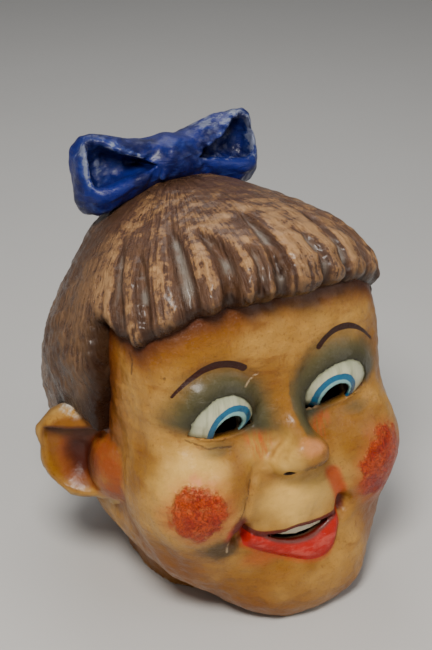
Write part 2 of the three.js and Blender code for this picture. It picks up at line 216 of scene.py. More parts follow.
hair = {
    "crown": dict(at=(0, 160, 320), half=(98, 104, 96)),
    "fringe": dict(at=(0, 100, 346), half=(141, 138, 58), square=2.2, barrel=2.8, under=36),
    "droop": (30, 128),
    "helmet": dict(at=(0, 164, 222), half=(157, 172, 122), square=2.3, barrel=2.2),
    "temples": dict(at=(0, 132, 266), half=(143, 66, 62), square=3, barrel=3),
    "backBlend": 40, "fringeBlend": 44, "templeBlend": 30,
    "thick": 5, "middle": (0, 140, 250), "edge": (334, 303, 320), "edgeAngles": (50, 66),
    "edgeRoom": 12, "pole": 14, "low": 13, "roll": (9, 24), "frontEnds": (58, 70),
    "covered": ((85, 115), (190, 230)),
    # deep grooves: where they start and end round the head, how far they bulge aside, where they start up
    # the crown, all in degrees; then depth in millimetres and width in degrees
    "grooves": ((-57, -50, 1, 52, 2.9, 2.2), (-46, -42, 2, 44, 3.9, 2),
                (-33, -28, 1, 54, 5.9, 3), (-24, -19, 5, 47, 6.1, 2.8), (-9, -11, 2, 34, 2.9, 1.8),
                (3, -3, -1, 55, 5.9, 2.5), (10, 11, 1, 36, 3.4, 1.8), (25, 21, -1, 43, 4.1, 2),
                (31, 33, 2, 50, 5.4, 2.4), (42, 43, -2, 40, 3.9, 2), (56, 52, -1, 50, 5.6, 2.6)),
    "grooveWidth": (0.75, 0.4), "grooveEnd": (0.45, (0.75, 1.05)),
    "minor": 26, "minorDepth": (0.5, 1.5), "minorWidth": (0.7, 1.3), "sideLevels": (212, 226, 120),
    "sideTurns": (85, 93, 115), "sweep": 0.115,
}


def backHair(p):
    d = join(egg(p, **hair["crown"]), boxy(p, **hair["helmet"]), hair["backBlend"])
    return join(d, boxy(p, **hair["temples"]), hair["templeBlend"])


def hairMass(p):
    bent = p.copy()
    bent[:, 2] += hair["droop"][0] * (p[:, 0] / hair["droop"][1]) ** 2
    d = join(egg(p, **hair["crown"]), boxy(bent, **hair["fringe"]), hair["fringeBlend"])
    d = join(d, boxy(p, **hair["helmet"]), hair["backBlend"])
    return join(d, boxy(p, **hair["temples"]), hair["templeBlend"])


def headMass(p, hairFar=None):
    m = mirrored(p)
    d = boxy(p, **headMasses["skull"])
    for name in ("lowerFace", "chin"):
        d = join(d, boxy(p, **headMasses[name]), headBlends[name])
    d = join(d, egg(m, **headMasses["cheek"]), headBlends["cheek"])
    d = join(d, egg(p, **headMasses["muzzle"]), headBlends["muzzle"])
    d = cut(d, egg(m, **headMasses["eyeHollow"]), headBlends["eyeHollow"])
    if hairFar is None:
        hairFar = hairMass(p)
    back, up = hair["covered"]
    bare = 1 - smoothstep(p[:, 1], *back) * smoothstep(p[:, 2], *up)
    d = np.maximum(d, hairFar + hair["thick"] - 400 * bare)      # kept under the hair where that covers it
    near, far, half = headMasses["dimples"]
    for at in (near, far):
        d = cut(d, egg(p, at, half), headBlends["dimples"])
    return join(d, neckForm(p), headBlends["neck"])


def hairTurn(p):
    return np.arctan2(p[:, 0] - hair["middle"][0], -(p[:, 1] - hair["middle"][1]))


def hairline(p):             # below zero where hair grows
    turn = np.abs(hairTurn(p))
    corner, end = np.radians(hair["edgeAngles"])
    middle, low, notch = hair["edge"]
    front = np.where(turn < corner, mixed(middle, low, np.clip(turn / corner, 0, 1) ** 3),
                     mixed(low, notch, np.clip((turn - corner) / (end - corner), 0, 1)))
    end = end + np.radians(hair["sweep"]) * np.clip(277 - p[:, 2], 0, 90)
    start, top, nape = hair["sideLevels"]
    ear, behind, back = np.radians(hair["sideTurns"])
    side = mixed(start, top, np.clip((turn - end) / (ear - end), 0, 1))
    side = mixed(side, nape, smoothstep(turn, behind, back))
    sideways = np.hypot(p[:, 0], p[:, 1] - hair["middle"][1]) * (end - turn)
    return join(front - p[:, 2], np.maximum(sideways, side - p[:, 2]), 5)


def lockPlace(p):            # how far round from the middle of the fringe and how far up, in degrees
    q = p - np.array(hair["middle"])
    tip = math.radians(hair["pole"])
    y = q[:, 1] * math.cos(tip) - q[:, 2] * math.sin(tip)
    z = q[:, 1] * math.sin(tip) + q[:, 2] * math.cos(tip)
    return np.degrees(np.arctan2(q[:, 0], -y)), np.degrees(np.arctan2(z, np.hypot(q[:, 0], y)))


def minorGrooves():
    rng = np.random.default_rng(11)
    reach = hair["edgeAngles"][1]
    for i in range(hair["minor"]):
        turn = -reach + 2 * reach * (i + rng.uniform(0.1, 0.9)) / hair["minor"]
        yield (turn + rng.uniform(-2, 2), turn, rng.uniform(-2, 2), rng.uniform(18, 46),
               rng.uniform(*hair["minorDepth"]), rng.uniform(*hair["minorWidth"]))


def lockRelief(p):           # how deep the grooves are here, how far into one, and the place in degrees
    turn, up = lockPlace(p)
    deep = np.zeros(len(p))
    into = np.zeros(len(p))
    narrow, widening = hair["grooveWidth"]
    shallower, tips = hair["grooveEnd"]
    for start, end, bulge, top, depth, width in (*hair["grooves"], *minorGrooves()):
        t = np.clip((top - up) / (top - hair["low"]), 0, 1.3)
        middle = mixed(start, end, np.minimum(t, 1)) + bulge * np.sin(math.pi * np.clip(t, 0, 1))
        wide = width * (narrow + widening * t)
        here = np.exp(-((turn - middle) / wide) ** 2) * smoothstep(t, 0, 0.4)
        here = here * (1 - shallower * smoothstep(t, *tips))
        deep = np.maximum(deep, here * depth)
        into = np.maximum(into, here * min(1, depth / 3))
    return deep, into, turn, up


# From a form to a mesh: a sparse grid, one corner in each crossed cell, pulled onto the form

def gradient(form, p, step=0.4):
    k = np.array(((1, -1, -1), (-1, -1, 1), (-1, 1, -1), (1, 1, 1)), float)
    return sum(form(p + step * way)[:, None] * way for way in k) / (4 * step)


def wayOut(form, p):         # the way straight out of a form
    g = gradient(form, p, 1.0)
    return g / (np.linalg.norm(g, axis=1)[:, None] + 1e-6)


def sunkIn(form, p, reach):  # 1 in a tight hollow, 0 in the open
    return 1 - np.clip(form(p + reach * wayOut(form, p)) / reach, 0, 1)


def inChunks(form, p, size=150000):
    return np.concatenate([form(p[i:i + size]) for i in range(0, len(p), size)])


settling = {"steps": 2, "leastSlope": 0.2, "longest": 0.45}      # how corners are pulled onto a form


def netOver(form, box, cell, block=4, slack=1.7):
    low, high = np.array(box, float)
    halfDiagonal = 0.87                  # of a cube, in sides
    count = np.ceil((high - low) / (cell * block)).astype(int)
    shape = count * block + 1
    corner = np.stack(np.meshgrid(*[np.arange(n) for n in count], indexing="ij"), -1).reshape(-1, 3)
    middle = inChunks(form, low + (corner + 0.5) * block * cell)
    near = corner[np.abs(middle) < slack * block * cell * halfDiagonal + cell] * block
    known = np.zeros(shape, bool)
    for i in range(block + 1):
        for j in range(block + 1):
            for k in range(block + 1):
                known[near[:, 0] + i, near[:, 1] + j, near[:, 2] + k] = True
    spots = np.argwhere(known)
    value = np.full(shape, 1.0)
    value[known] = inChunks(form, low + spots * cell)
    inside = (value < 0) & known
    total = np.zeros(shape - 1, int)
    whole = np.ones(shape - 1, bool)
    for i in (0, 1):
        for j in (0, 1):
            for k in (0, 1):
                part = (slice(i, shape[0] - 1 + i), slice(j, shape[1] - 1 + j), slice(k, shape[2] - 1 + k))
                total += inside[part]
                whole &= known[part]
    crossed = (total > 0) & (total < 8) & whole
    cells = np.argwhere(crossed)
    number = np.full(shape - 1, -1)
    number[crossed] = np.arange(len(cells))
    place = np.zeros((len(cells), 3))
    weight = np.zeros(len(cells))
    quads = []
    for axis in range(3):
        other = [a for a in range(3) if a != axis]
        step = np.eye(3, dtype=int)
        for i in (0, 1):
            for j in (0, 1):
                a = cells + i * step[other[0]] + j * step[other[1]]
                b = a + step[axis]
                va, vb = value[tuple(a.T)], value[tuple(b.T)]
                hit = (va < 0) != (vb < 0)
                share = np.where(hit, va / np.where(hit, va - vb, 1), 0)
                place += np.where(hit[:, None], a - cells + share[:, None] * step[axis], 0)
                weight += hit
        u, v = (other[0], other[1]) if axis != 1 else (other[1], other[0])
        first = [slice(None)] * 3
        second = [slice(None)] * 3
        first[axis] = slice(0, -1)
        second[axis] = slice(1, None)
        flips = np.argwhere((inside[tuple(first)] != inside[tuple(second)])
                            & known[tuple(first)] & known[tuple(second)])
        flips = flips[(flips[:, u] > 0) & (flips[:, v] > 0)
                      & (flips[:, u] < shape[u] - 1) & (flips[:, v] < shape[v] - 1)]
        ring = [number[tuple((flips - a * step[u] - b * step[v]).T)]
                for a, b in ((1, 1), (0, 1), (0, 0), (1, 0))]
        ring = np.stack(ring, 1)
        out = inside[tuple(flips.T)]
        ring[~out] = ring[~out][:, ::-1]
        quads.append(ring[(ring >= 0).all(1)])
    points = low + (cells + place / np.maximum(weight, 1)[:, None]) * cell
    for _ in range(settling["steps"]):
        d = inChunks(form, points)
        g = inChunks(lambda q: gradient(form, q), points, 100000)
        size = (g ** 2).sum(1)
        move = -(d / np.maximum(size, settling["leastSlope"]))[:, None] * g
        length = np.linalg.norm(move, axis=1)
        points += move * np.minimum(1, settling["longest"] * cell / np.maximum(length, 1e-9))[:, None]
    return points, np.concatenate(quads)


def makeObject(name, points, faces, material):
    mesh = bpy.data.meshes.new(name)
    mesh.vertices.add(len(points))
    mesh.vertices.foreach_set("co", (toTable(points) * stance["scale"]).ravel())
    mesh.loops.add(faces.size)
    mesh.loops.foreach_set("vertex_index", faces.ravel())
    mesh.polygons.add(len(faces))
    mesh.polygons.foreach_set("loop_start", np.arange(len(faces)) * faces.shape[1])
    mesh.update(calc_edges=True)
    mesh.validate()
    mesh.polygons.foreach_set("use_smooth", np.ones(len(mesh.polygons), bool))
    piece = bpy.data.objects.new(name, mesh)
    bpy.context.scene.collection.objects.link(piece)
    mesh.materials.append(material)
    return piece


def thinOut(piece, hidden, most):        # fewer faces where nobody looks
    size = sum(len(f.vertices) - 2 for f in piece.data.polygons)
    if size > most:
        group = piece.vertex_groups.new(name="hidden")
        group.add([int(i) for i in np.nonzero(hidden)[0]], 1, "REPLACE")
        fewer = piece.modifiers.new("fewer", "DECIMATE")
        fewer.ratio = most / size
        fewer.vertex_group = "hidden"
        fewer.vertex_group_factor = 1000
        made = bpy.data.meshes.new_from_object(piece.evaluated_get(bpy.context.evaluated_depsgraph_get()))
        piece.modifiers.remove(fewer)
        piece.vertex_groups.remove(group)
        piece.data = made
        made.polygons.foreach_set("use_smooth", np.ones(len(made.polygons), bool))
    return piece


def pointsOf(piece):                     # back into the head's frame
    flat = np.empty(len(piece.data.vertices) * 3)
    piece.data.vertices.foreach_get("co", flat)
    q = flat.reshape(-1, 3) / stance["scale"]
    c, s = math.cos(stance["lean"]), math.sin(stance["lean"])
    y, z = q[:, 1] - stance["chinFront"], q[:, 2]
    return np.column_stack((q[:, 0], y * c - z * s, y * s + z * c))


def note(piece, **values):               # a value for each corner, which the paint reads
    for name, value in values.items():
        layer = piece.data.attributes.new(name, "FLOAT", "POINT")
        layer.data.foreach_set("value", np.asarray(value, np.float32))


def report(piece, stage):
    faces = sum(len(f.vertices) - 2 for f in piece.data.polygons)
    print(stage, piece.name, faces, "triangles")


# Node helpers for the paints

class Paint:
    coatRoughness = 0.2
    gloss = 0.28

    def __init__(self, name, roughness, coat=0.0):
        self.material = bpy.data.materials.new(name)
        self.material.use_nodes = True
        self.tree = self.material.node_tree
        self.shader = self.tree.nodes["Principled BSDF"]
        self.shader.inputs["Roughness"].default_value = roughness
        self.shader.inputs["Coat Weight"].default_value = coat
        self.shader.inputs["Coat Roughness"].default_value = self.coatRoughness
        self.shader.inputs["Specular IOR Level"].default_value = self.gloss
        self.coords = self.tree.nodes.new("ShaderNodeTexCoord").outputs["Object"]
        self.edge = None                 # the wobble, where a paint has loose edges

    def node(self, kind, inputs, **settings):
        made = self.tree.nodes.new(kind)
        for key, value in settings.items():
            setattr(made, key, value)
        for key, value in inputs.items():
            if isinstance(value, bpy.types.NodeSocket):
                self.tree.links.new(value, made.inputs[key])
            else:
                made.inputs[key].default_value = value
        return made

    def value(self, name):
        return self.node("ShaderNodeAttribute", {}, attribute_name=name).outputs["Fac"]

    def noise(self, scale, detail=4, roughness=0.6, where=None, distortion=0.0):
        inputs = {"Vector": where or self.coords, "Scale": scale, "Detail": detail, "Roughness": roughness,
                  "Distortion": distortion}
        return self.node("ShaderNodeTexNoise", inputs).outputs["Fac"]

    def math(self, operation, a, b):
        return self.node("ShaderNodeMath", {0: a, 1: b}, operation=operation).outputs[0]

    def times(self, a, b):
        return self.math("MULTIPLY", a, b)

    def plus(self, *terms):
        total = terms[0]
        for term in terms[1:]:
            total = self.math("ADD", total, term)
        return total

    def band(self, value, start, end, low=0.0, high=1.0):       # low at the start, high at the end
        inputs = {"Value": value, "From Min": start, "From Max": end, "To Min": low, "To Max": high}
        return self.node("ShaderNodeMapRange", inputs, interpolation_type="SMOOTHSTEP").outputs["Result"]

    def wobble(self, source, reach):     # a noise made to swing about zero
        return self.times(self.math("SUBTRACT", source, 0.5), reach)

    # paint that fades with a noted distance, along an edge that wobbles more or less loosely
    def spread(self, name, start, end, most=1.0, loose=1.0):
        far = self.value(name)
        if loose:
            far = self.plus(far, self.times(self.edge, loose))
        return self.band(far, start, end, 0, most)

    # a row: the paint, the noted distance, where it starts and is full, how strong, how loose, and a mask
    def layers(self, colour, rows, paints, masks):
        for shade, name, start, end, most, loose, *masked in rows:
            factor = self.spread(name, start, end, most, loose)
            for mask in masked:
                factor = self.times(factor, masks[mask])
            colour = self.over(colour, factor, paints[shade])
        return colour

    def over(self, under, factor, colour):
        made = self.node("ShaderNodeMix", {0: factor}, data_type="RGBA")
        for index, value in ((6, under), (7, colour)):
            if isinstance(value, bpy.types.NodeSocket):
                self.tree.links.new(value, made.inputs[index])
            else:
                made.inputs[index].default_value = (*value, 1)
        return made.outputs[2]

    def stretched(self, x, y, z):
        return self.node("ShaderNodeMapping", {"Vector": self.coords, "Scale": (x, y, z)}).outputs["Vector"]

    def finish(self, colour, roughness=None, bumps=()):
        self.tree.links.new(colour, self.shader.inputs["Base Color"])
        if roughness is not None:
            self.tree.links.new(roughness, self.shader.inputs["Roughness"])
        normal = None
        for height, distance in bumps:
            inputs = {"Height": height, "Distance": distance, "Strength": 1.0}
            if normal is not None:
                inputs["Normal"] = normal
            normal = self.node("ShaderNodeBump", inputs).outputs["Normal"]
        if normal is not None:
            self.tree.links.new(normal, self.shader.inputs["Normal"])
        return self.material


# The painted skin: face, jaw and neck, with the hollow behind them

skinLook = {
    "box": ((-165, -75, -45), (165, 330, 345)), "cell": 2.3, "most": 190000, "tuck": 15,
    "waves": ((0.55, 38, 3), (0.22, 13, 4)), "rimChips": (0.6, 16, 9), "sinkReach": 10,
    "hidden": 1.5, "lap": -4,            # inside the wall, and under the hair: fewer faces
    "ochre": (0.295, 0.122, 0.011), "cream": (0.54, 0.285, 0.062), "amber": (0.20, 0.056, 0.004),
    "light": (0.80, 0.48, 0.115), "umber": (0.075, 0.015, 0.003), "rouge": (0.52, 0.060, 0.004),
    "rougeRed": (0.33, 0.014, 0.002), "blush": (0.56, 0.125, 0.025), "eyeShade": (0.085, 0.070, 0.026),
    "eyeDeep": (0.030, 0.030, 0.016), "brow": (0.032, 0.006, 0.002), "lip": (0.45, 0.010, 0.003),
    "lipDark": (0.11, 0.005, 0.002), "lipPale": (0.62, 0.10, 0.07), "lipInner": (0.10, 0.045, 0.035),
    "pink": (0.80, 0.30, 0.11), "grime": (0.06, 0.035, 0.010), "paper": (0.58, 0.42, 0.25),
    "inside": (0.25, 0.16, 0.085), "crack": (0.04, 0.014, 0.005),
    "earOrange": (0.30, 0.052, 0.006), "earDark": (0.050, 0.007, 0.003),
    "lidShadeFrom": (212, 228), "lidShadeTilt": 0.25, "lidShadeBack": (60, 40),
    "sideHairAt": (92, 215, 315),      # depth, lowest level and top of the hair's edge beside the face, where the painted shadow lies
}

# paints laid over the ground one after another: before the rouge, and after it
skinLayers = {
    # the first row is painted shade: amber in the hollows
    "before": (("amber", "sunk", 0.2, 0.8, 0.85, 0),
               # painted shadow: amber on the skin beside the side hair
               ("amber", "sideHair", 48, 6, 0.8, 1),
               ("amber", "jawShade", 62, 14, 0.85, 1),
               # painted shadow under the hair's edge: amber, deepening to umber close to it
               ("amber", "underHair", 34, 4, 0.8, 1),
               ("umber", "underHair", 17, -4, 0.9, 0.6),
               ("amber", "lowEdge", 70, 8, 0.6, 1),
               ("earOrange", "ledgeFar", 9, -3, 0.9, 1),
               # partly the ear's maroon paint, partly painted shade: dark in the ear's hollow
               ("earDark", "innerEar", 27, 10, 0.95, 0.5),
               # painted shade: a dark umber line along the crease between cheek and ear
               ("umber", "creaseFar", 2.2, 0.4, 0.5, 0.1),
               ("rouge", "nasal", 9, 1, 0.85, 0.3),
               ("rouge", "tearFar", 20, 4, 0.8, 0.5, "tear"),
               ("eyeShade", "almond", 34, 10, 1, 0.5, "lidSide"),
               # partly the eye shadow's darker paint, partly painted shade where the eyeball meets the socket
               ("eyeDeep", "almond", 14, 1, 0.8, 0.4, "lidSide"),
               ("eyeShade", "underEye", 11, 2, 0.6, 0.4),
               ("pink", "tipFar", 15, 3, 0.55, 0.9),
               # partly grime, partly painted shade: dark speckles under the nose tip
               ("grime", "tipUnder", 15, 6, 0.9, 0.6, "speckle"),
               ("blush", "rougeFar", 47, 25, 0.5, 1.2)),
    # painted highlight first: pale pink on the near cheek's top, broken up by a noise mask
    "after": (("pink", "gleamFar", 17, 5, 0.9, 0.6, "rubbed"),
              ("lip", "cornerRed", 17, 7, 0.85, 0.8),
              # partly dark red paint, partly painted shade in the recessed corners of the mouth
              ("lipDark", "cornerFar", 14, 6, 0.92, 0.6),
              ("rouge", "sorrowFar", 20, 4, 0.5, 0.6),
              # a smudge of grime below the near corner of the mouth
              ("grime", "smudgeFar", 23, 7, 0.9, 0.8),
              ("rouge", "lowerLip", 7, 1, 0.5, 0.2),
              ("lip", "lowerLip", 1.2, 0, 1, 0.08),
              # painted highlight: pale pink streaks along the middle of the lower lip
              ("lipPale", "lowerLip", -2.5, -6, 0.6, 0, "lipWear"),
              # painted shade and painted reflection: cool grey-brown on the lower lip's inner edge by the gap
              ("lipInner", "mouthGap", 5.5, 1.5, 0.85, 0.1),
              ("lipDark", "upperLip", 0.7, -0.7, 0.95, 0.08),
              # painted shade: dark in the mouth gap
              ("lipDark", "mouthGap", 0.8, 0, 1, 0.02),
              # painted shade: near black in the nostrils
              ("crack", "nostril", 1.6, 0.8, 1, 0),
              ("brow", "brow", 0.45, -0.25, 1, 0.03),
              ("crack", "crack", 1.5, 0.6, 0.6, 0.03),
              ("paper", "scratch", 1.5, 0.6, 0.55, 0.06)),
}
# where spots of paint lie and how they are stretched; of two spots the nearer one counts
skinSpots = {
    "rougeFar": (((-108, -15, 155),), ((100, -15, 141), (1.1, 1.2, 1.25))),
    "gleamFar": (((-104, -14, 182), (1.4, 1, 1)),),
    "tipFar": (((4, -44, 200), (1.3, 1, 0.8)),),
    "tipUnder": (((7, -42, 177), (1.6, 1, 0.7)),),
    "cornerFar": (((-68, -17, 130), (0.8, 1, 1.2)), ((50, 0, 113),)),
    "cornerRed": (((-71, -13, 120), (0.9, 1, 1.3)),),
    "smudgeFar": (((-80, -6, 106), (1.5, 1, 0.9)),),
    "sorrowFar": (((-46, -10, 84), (1.5, 1, 0.8)),),
    "jawShade": (((100, 10, 95), (0.8, 1, 1.2)), ((-105, 40, 85), (1.1, 1, 1))),
}
# the same on both sides
eyeSpots = {"tearFar": ((33, 0, 203), (1, 1, 1.6)), "underEye": ((78, 0, 206), (2.2, 1.6, 1))}
# painted highlight, paler cream where light falls on the upper lip, the near cheek, the near side of the nose
# and the chin: where, how stretched, where each starts and is full, and how strong
palePatches = (((-6, -14, 134), (1.4, 1.5, 1), 42, 14, 1), ((-108, -5, 188), (1.1, 1.4, 1), 46, 10, 1),
               ((-40, -10, 190), (1, 1, 1.4), 24, 6, 0.6), ((-16, -24, 192), (1, 1.2, 1), 28, 8, 1.3),
               ((-10, -14, 42), (2.2, 1, 0.8), 26, 8, 0.25))


def almond(p):               # below zero in the opening of an eye, seen from the front
    off = np.abs(p[:, 0] - eye["aside"]) - eye["middle"]
    across = off / np.where(off < 0, np.where(p[:, 0] < 0, *eye["inner"]), eye["half"])
    rise = p[:, 2] - mixed(eye["level"][0], eye["level"][1], np.clip(across / 2 + 0.5, 0, 1))
    dome = (np.hypot(across, rise / eye["rise"]) - 1) * eye["half"]
    below = -rise - eye["sag"] * np.clip(1 - across ** 2, 0, 1)
    return np.maximum(dome, below)


def noseForm(p):
    lifted = p.copy()
    lifted[:, 2] += nose["lift"] * (p[:, 1] - nose["wings"]["at"][1])
    tip = boxy(p, **nose["tip"], square=nose["square"], barrel=nose["square"])
    d = join(limb(p, *nose["ridge"]), tip, nose["tipBlend"])
    return join(d, egg(lifted, **nose["wings"]), nose["wingBlend"])


walk = {"start": -90.0, "steps": 60, "share": 0.8, "longest": 6}


def frontOf(form, x, z):     # where a line from the front meets the form
    y = np.full(len(x), walk["start"])
    for _ in range(walk["steps"]):
        d = form(np.column_stack((x, y, z)))
        y += np.clip(d * walk["share"], 0, walk["longest"])
    return np.column_stack((x, y, z))


def faceMass(p, hairFar=None):
    return join(headMass(p, hairFar), noseForm(p), headBlends["nose"])


def foldLine(side, top, middle, low, sink):
    x, z = np.array([top, middle, low], float).T
    t = np.linspace(0, 1, 9)[:, None]
    way = (1 - t) ** 2 * np.array((x[0], z[0])) + t ** 2 * np.array((x[2], z[2]))
    way = way + 2 * t * (1 - t) * np.array((x[1], z[1]))
    line = frontOf(faceMass, side * way[:, 0], way[:, 1])
    line[:, 1] += sink
    return line


# a fold from the front: its side, top, bend and low end, and how far behind the skin its line lies
folds = {"laugh": ((-1, (46, 180), (60, 160), (63, 130), 4), (1, (27, 172), (40, 158), (50, 120), 0)),
         "reach": 30, "soft": 5, "deep": 2, "blend": 10,
         "lids": (((52, 207), (74, 201), (108, 222), -0.2), ((60, 204), (80, 196), (104, 210), -0.1)),
         "lidHalf": 0.6, "lidBlend": 1.6}
laughLines = [foldLine(*row) for row in folds["laugh"]]
lidCreases = [foldLine(side, *row) for row in folds["lids"] for side in (-1, 1)]


def slotForm(p):             # the dark gap with the teeth in it
    share = mouthShare(p)
    ends = (np.abs(share) - mouth["gapEnds"]) * mouth["half"]
    top = p[:, 2] - upperHeight(share) + mouth["overhang"]
    return np.maximum(np.maximum(top, gapHeight(share) - p[:, 2]), ends)


def pupilForm(p, spare=0.4):
    x = np.abs(p[:, 0] - eye["aside"]) - eye["pupilAt"][0]
    z = p[:, 2] - eye["pupilAt"][1]
    return np.maximum(np.maximum(np.hypot(x, z) - eye["pupil"], almond(p) + spare), p[:, 1] - eye["back"])


def hollowForm(p, hairFar):
    stood = toTable(p)
    wall = stance["wall"]
    face = np.maximum(headMass(p, hairFar) + wall, np.minimum(wall - stood[:, 2], neckForm(p) + wall))
    # at the back it also keeps away from the lower edge of the hair
    back = np.maximum(hairFar, backHair(p)) + 2 * wall + np.clip(hairline(p) + hair["edgeRoom"], 0, 60)
    return np.minimum(face, back)


def uneven(p):
    return roughen(0, p, skinLook["waves"])


def skinOutside(p, hairFar=None):
    m = mirrored(p)
    d = byTheEar(p, faceMass(p, hairFar))
    front = p[:, 1] < eye["back"]
    opening = almond(p)
    ball = eyeball(p)
    lid = np.maximum(ball - eye["lid"], -opening)
    d = join(d, np.where(front, lid, 30.0), eye["lidBlend"])
    d = np.where((opening < 0) & front, np.maximum(d, ball + eye["setBack"]), d)
    for line in laughLines:
        far = np.hypot(strand(p, line, 0, folds["reach"]), folds["soft"])
        d = cut(d, far - folds["deep"], folds["blend"])
    for line in lidCreases:
        d = cut(d, strand(p, line, folds["lidHalf"]), folds["lidBlend"])
    d = cut(d, strand(m, nose["nostril"][:2], nose["nostril"][2]), nose["nostrilBlend"])
    return d + uneven(p) - lipSwell(p)


def skinForm(p):
    hairFar = hairMass(p)
    d = skinOutside(p, hairFar)
    d = np.maximum(d, -hollowForm(p, hairFar))
    d = np.maximum(d, -np.maximum(slotForm(p), np.abs(p[:, 1]) - mouth["back"]))
    d = np.maximum(d, -pupilForm(p))
    depth, size, seed = skinLook["rimChips"]
    rim = toTable(p)[:, 2] - depth * np.maximum(0, lumps(p, size, seed)) * smoothstep(p[:, 1], 20, 60)
    d = np.maximum(d, -rim)
    return np.maximum(d, -(hairline(p) + skinLook["tuck"]))


brow = {"outer": (110, 265), "inner": (41, 279), "crest": (302, 309), "crestAt": 73, "aside": -1,
        "thick": (1.1, 3.4), "reach": 12}


def browField(p):
    out = np.full(len(p), float(brow["reach"]))
    t = np.linspace(0, 1, 15)[:, None]
    thick = mixed(*brow["thick"], smoothstep(t[:, 0], 0, 0.6))
    flat = np.column_stack((p[:, 0] - brow["aside"], np.zeros(len(p)), p[:, 2]))
    for side, crest in zip((-1, 1), brow["crest"]):
        way = ((1 - t) ** 2 * np.array(brow["outer"], float) + t ** 2 * np.array(brow["inner"], float)
               + 2 * t * (1 - t) * np.array((brow["crestAt"], crest), float))
        line = np.column_stack((side * way[:, 0], np.zeros(len(way)), way[:, 1]))
        out = np.minimum(out, strand(flat, line, thick, ahead=brow["reach"]))
    return out


def skinBase(paint):         # the ochre ground that the face, neck and ears share
    look = skinLook
    broad = paint.noise(11, 3, 0.55)
    streak = paint.noise(28, 4, 0.6, where=paint.stretched(1, 1, 3))
    colour = paint.over(look["ochre"], paint.band(broad, 0.38, 0.66), look["cream"])
    colour = paint.over(colour, paint.band(streak, 0.5, 0.78, 0, 0.6), look["amber"])
    fine = paint.noise(120, 4, 0.7, where=paint.stretched(1.6, 1.6, 0.6))
    colour = paint.over(colour, paint.band(fine, 0.54, 0.74, 0, 0.42), look["amber"])
    speck = paint.noise(330, 3, 0.7)
    return paint.over(colour, paint.band(speck, 0.54, 0.70, 0, 0.36), look["umber"]), streak


def crackedCrust(paint, rouge):          # the net of cracks in the rouge
    drift = paint.node("ShaderNodeTexNoise", {"Vector": paint.coords, "Scale": 55.0, "Detail": 3.0})
    bent = paint.node("ShaderNodeVectorMath", {0: paint.coords, 1: drift.outputs["Color"],
                                               2: (0.03, 0.03, 0.03)}, operation="MULTIPLY_ADD").outputs[0]
    crackle = paint.node("ShaderNodeTexVoronoi", {"Vector": bent, "Scale": 95.0},
                         feature="DISTANCE_TO_EDGE").outputs["Distance"]
    thick = paint.plus(paint.times(rouge, paint.noise(60, 5, 0.7)), 0.04)
    return paint.times(paint.band(crackle, 0, 0.10), thick)


def paintSkin():
    look = skinLook
    paint = Paint("paintedSkin", 0.38, coat=0.16)
    grain = paint.noise(70, 5, 0.65)
    colour, streak = skinBase(paint)
    paint.edge = paint.wobble(paint.noise(30, 5, 0.7), 26)
    masks = {
        "tear": paint.band(paint.noise(60, 3, 0.6, where=paint.stretched(4, 1, 0.5)), 0.42, 0.6),
        "lidSide": paint.value("lidSide"),
        "speckle": paint.band(paint.noise(240, 4, 0.7), 0.42, 0.62),
        "rubbed": paint.band(grain, 0.4, 0.6),
        "lipWear": paint.band(paint.noise(60, 5, 0.7, where=paint.stretched(0.6, 1, 1.6)), 0.45, 0.62),
    }
    # painted highlight: paler cream, broken up by noise, over the lit patches
    brushed = paint.band(paint.noise(22, 3, 0.55), 0.3, 0.6, 0.35, 0.85)
    colour = paint.over(colour, paint.times(paint.value("pale"), brushed), look["light"])
    colour = paint.layers(colour, skinLayers["before"], look, masks)
    rouge = paint.spread("rougeFar", 33, 24, 1, 1.9)
    colour = paint.over(colour, rouge, look["rouge"])
    core = paint.band(paint.noise(45, 5, 0.7), 0.46, 0.62, 0, 0.9)
    colour = paint.over(colour, paint.times(core, rouge), look["rougeRed"])
    flakes = paint.band(paint.noise(85, 5, 0.75), 0.56, 0.66, 0, 0.75)
    colour = paint.over(colour, paint.times(flakes, rouge), look["blush"])
    colour = paint.layers(colour, skinLayers["after"], look, masks)
    colour = paint.over(colour, paint.value("inside"), look["inside"])
    bare = paint.times(paint.band(paint.value("lowEdge"), 3.5, 1), paint.band(grain, 0.4, 0.55))
    colour = paint.over(colour, bare, look["paper"])
    roughness = paint.band(grain, 0.3, 0.75, 0.32, 0.55)
    crust = crackedCrust(paint, rouge)
    bumps = ((paint.noise(34, 5, 0.6), 0.0024), (streak, 0.0012), (crust, 0.0030), (grain, 0.0011))
    return paint.finish(colour, roughness, bumps)


wear = {"crack": (((-130, 302), (-130, 294), (-132, 282)), ((-50.5, 173), (-59, 155), (-69, 139)),
                  ((-104, 222), (-84, 209), (-62, 206))),
        "scratch": (((-28, 270), (-37, 266), (-45, 263)), ((-77, 114), (-77.5, 108), (-76.5, 101))),
        "dot": (-114, 282), "dotHalf": 0.7, "reach": 12}


def wearFar(p, kind):        # how far a point lies from the nearest crack or scratch
    out = np.full(len(p), float(wear["reach"]))
    for way in wear[kind]:
        t = np.linspace(0, len(way) - 1, 13)
        x, z = (np.interp(t, np.arange(len(way)), row) for row in np.array(way, float).T)
        out = np.minimum(out, strand(p, frontOf(skinOutside, x, z), 0.0, wear["reach"]))
    return out


